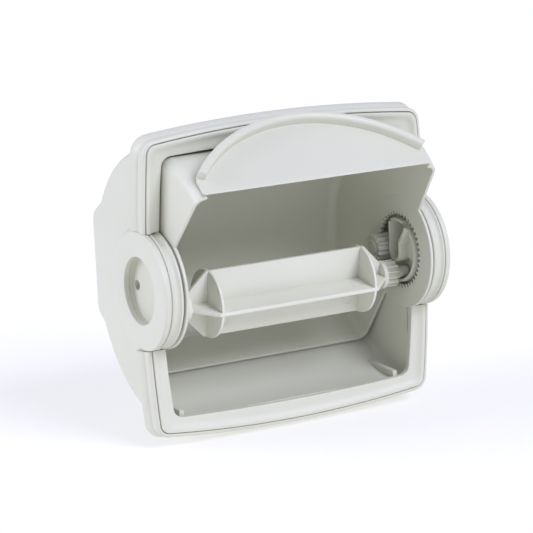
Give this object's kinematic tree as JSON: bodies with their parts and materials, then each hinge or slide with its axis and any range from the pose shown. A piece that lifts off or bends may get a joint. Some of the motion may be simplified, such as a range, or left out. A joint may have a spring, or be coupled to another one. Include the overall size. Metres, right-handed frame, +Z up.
{
  "type": "recessed roll dispenser",
  "caption": "Recessed wall dispenser for a wound roll, with a round tub, a swinging half-drum hood with an arched grip, and a cross-shaped spool on geared bearings.",
  "frame": {"origin": "centre of the flat rear mounting pad of the tub", "axes": "+Y out of the rear pad into the panel, +X along the drum axis to the user's right, +Z up"},
  "size_m": [0.1642, 0.1114, 0.1602],
  "materials": {
    "shell_plastic": "satin moulded",
    "hood_plastic": "satin moulded",
    "cup_plastic": "satin moulded",
    "spool_plastic": "satin moulded",
    "gear_plastic": "satin moulded",
    "rod_plastic": "satin moulded",
    "label_film": "satin moulded"
  },
  "bodies": {
    "housing_body": {"housing": "shell_plastic", "bezel": "shell_plastic", "left_bearing_cup": "cup_plastic", "right_bearing_cup": "cup_plastic", "idler_axle": "gear_plastic"},
    "hood": {"hood_shell": "hood_plastic", "hood_grip": "hood_plastic", "blank_label": "label_film"},
    "idler": {"idler_gear": "gear_plastic"},
    "spool": {"spool_core": "spool_plastic", "spool_gear": "gear_plastic", "spool_journal": "spool_plastic", "spool_rod": "rod_plastic"}
  },
  "joints": [
    {"name": "hood_swing", "type": "hinge", "parent": "housing_body", "child": "hood", "pos_m": [0, -0.069, -0.002], "axis": [1, 0, 0], "range_deg": [0, 131]},
    {"name": "idler_spin", "type": "hinge", "parent": "housing_body", "child": "idler", "pos_m": [0.065, -0.0564, -0.002], "axis": [1, 0, 0], "range_deg": [0, 393]},
    {"name": "spool_spin", "type": "hinge", "parent": "housing_body", "child": "spool", "pos_m": [0, -0.0688, -0.0136], "axis": [1, 0, 0], "continuous": true}
  ],
  "couplings": [
    {"joint": "idler_spin", "follows": "hood_swing", "ratio": 3}
  ]
}
